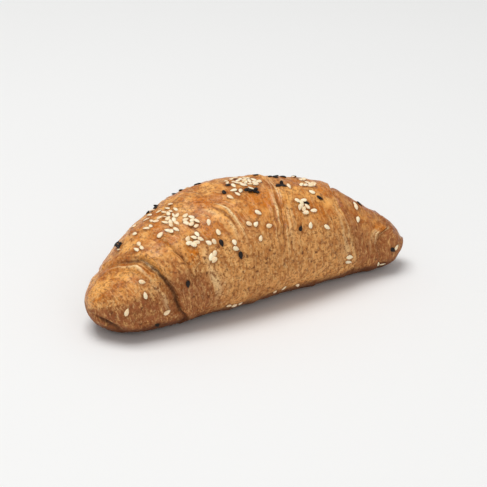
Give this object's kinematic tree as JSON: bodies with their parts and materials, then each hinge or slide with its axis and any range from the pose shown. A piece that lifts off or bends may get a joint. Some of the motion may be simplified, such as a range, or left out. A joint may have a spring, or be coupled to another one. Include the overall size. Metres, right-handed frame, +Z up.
{
  "type": "croissant",
  "caption": "Seeded wholemeal croissant, nearly straight, with a blunt nose, a thin tip, rolled dough folds and white and black sesame seeds on its crust.",
  "frame": {"origin": "middle of the whole thing's footprint, on the surface it lies on", "axes": "+X along the croissant from its blunt nose to its thin tip, +Y towards the outside of its gentle crescent, +Z up"},
  "size_m": [0.155, 0.0647, 0.0513],
  "materials": {
    "baked_crust": null,
    "white_sesame": null,
    "black_sesame": null
  },
  "bodies": {
    "root": {"croissant": "baked_crust", "white_sesame_01": "white_sesame", "white_sesame_02": "white_sesame", "white_sesame_03": "white_sesame", "white_sesame_04": "white_sesame", "white_sesame_05": "white_sesame", "white_sesame_06": "white_sesame", "white_sesame_07": "white_sesame", "white_sesame_08": "white_sesame", "white_sesame_09": "white_sesame", "white_sesame_10": "white_sesame", "white_sesame_11": "white_sesame", "white_sesame_12": "white_sesame", "white_sesame_13": "white_sesame", "white_sesame_14": "white_sesame", "white_sesame_15": "white_sesame", "white_sesame_16": "white_sesame", "white_sesame_17": "white_sesame", "white_sesame_18": "white_sesame", "white_sesame_19": "white_sesame", "white_sesame_20": "white_sesame", "white_sesame_21": "white_sesame", "white_sesame_22": "white_sesame", "white_sesame_23": "white_sesame", "white_sesame_24": "white_sesame", "white_sesame_25": "white_sesame", "white_sesame_26": "white_sesame", "white_sesame_27": "white_sesame", "white_sesame_28": "white_sesame", "white_sesame_29": "white_sesame", "white_sesame_30": "white_sesame", "white_sesame_31": "white_sesame", "white_sesame_32": "white_sesame", "white_sesame_33": "white_sesame", "white_sesame_34": "white_sesame", "white_sesame_35": "white_sesame", "white_sesame_36": "white_sesame", "white_sesame_37": "white_sesame", "black_sesame_01": "black_sesame", "black_sesame_02": "black_sesame", "black_sesame_03": "black_sesame", "black_sesame_04": "black_sesame", "black_sesame_05": "black_sesame", "black_sesame_06": "black_sesame", "black_sesame_07": "black_sesame", "black_sesame_08": "black_sesame", "black_sesame_09": "black_sesame", "black_sesame_10": "black_sesame", "black_sesame_11": "black_sesame", "black_sesame_12": "black_sesame", "black_sesame_13": "black_sesame", "black_sesame_14": "black_sesame", "black_sesame_15": "black_sesame", "black_sesame_16": "black_sesame", "black_sesame_17": "black_sesame", "black_sesame_18": "black_sesame", "black_sesame_19": "black_sesame", "black_sesame_20": "black_sesame", "black_sesame_21": "black_sesame"}
  },
  "joints": []
}
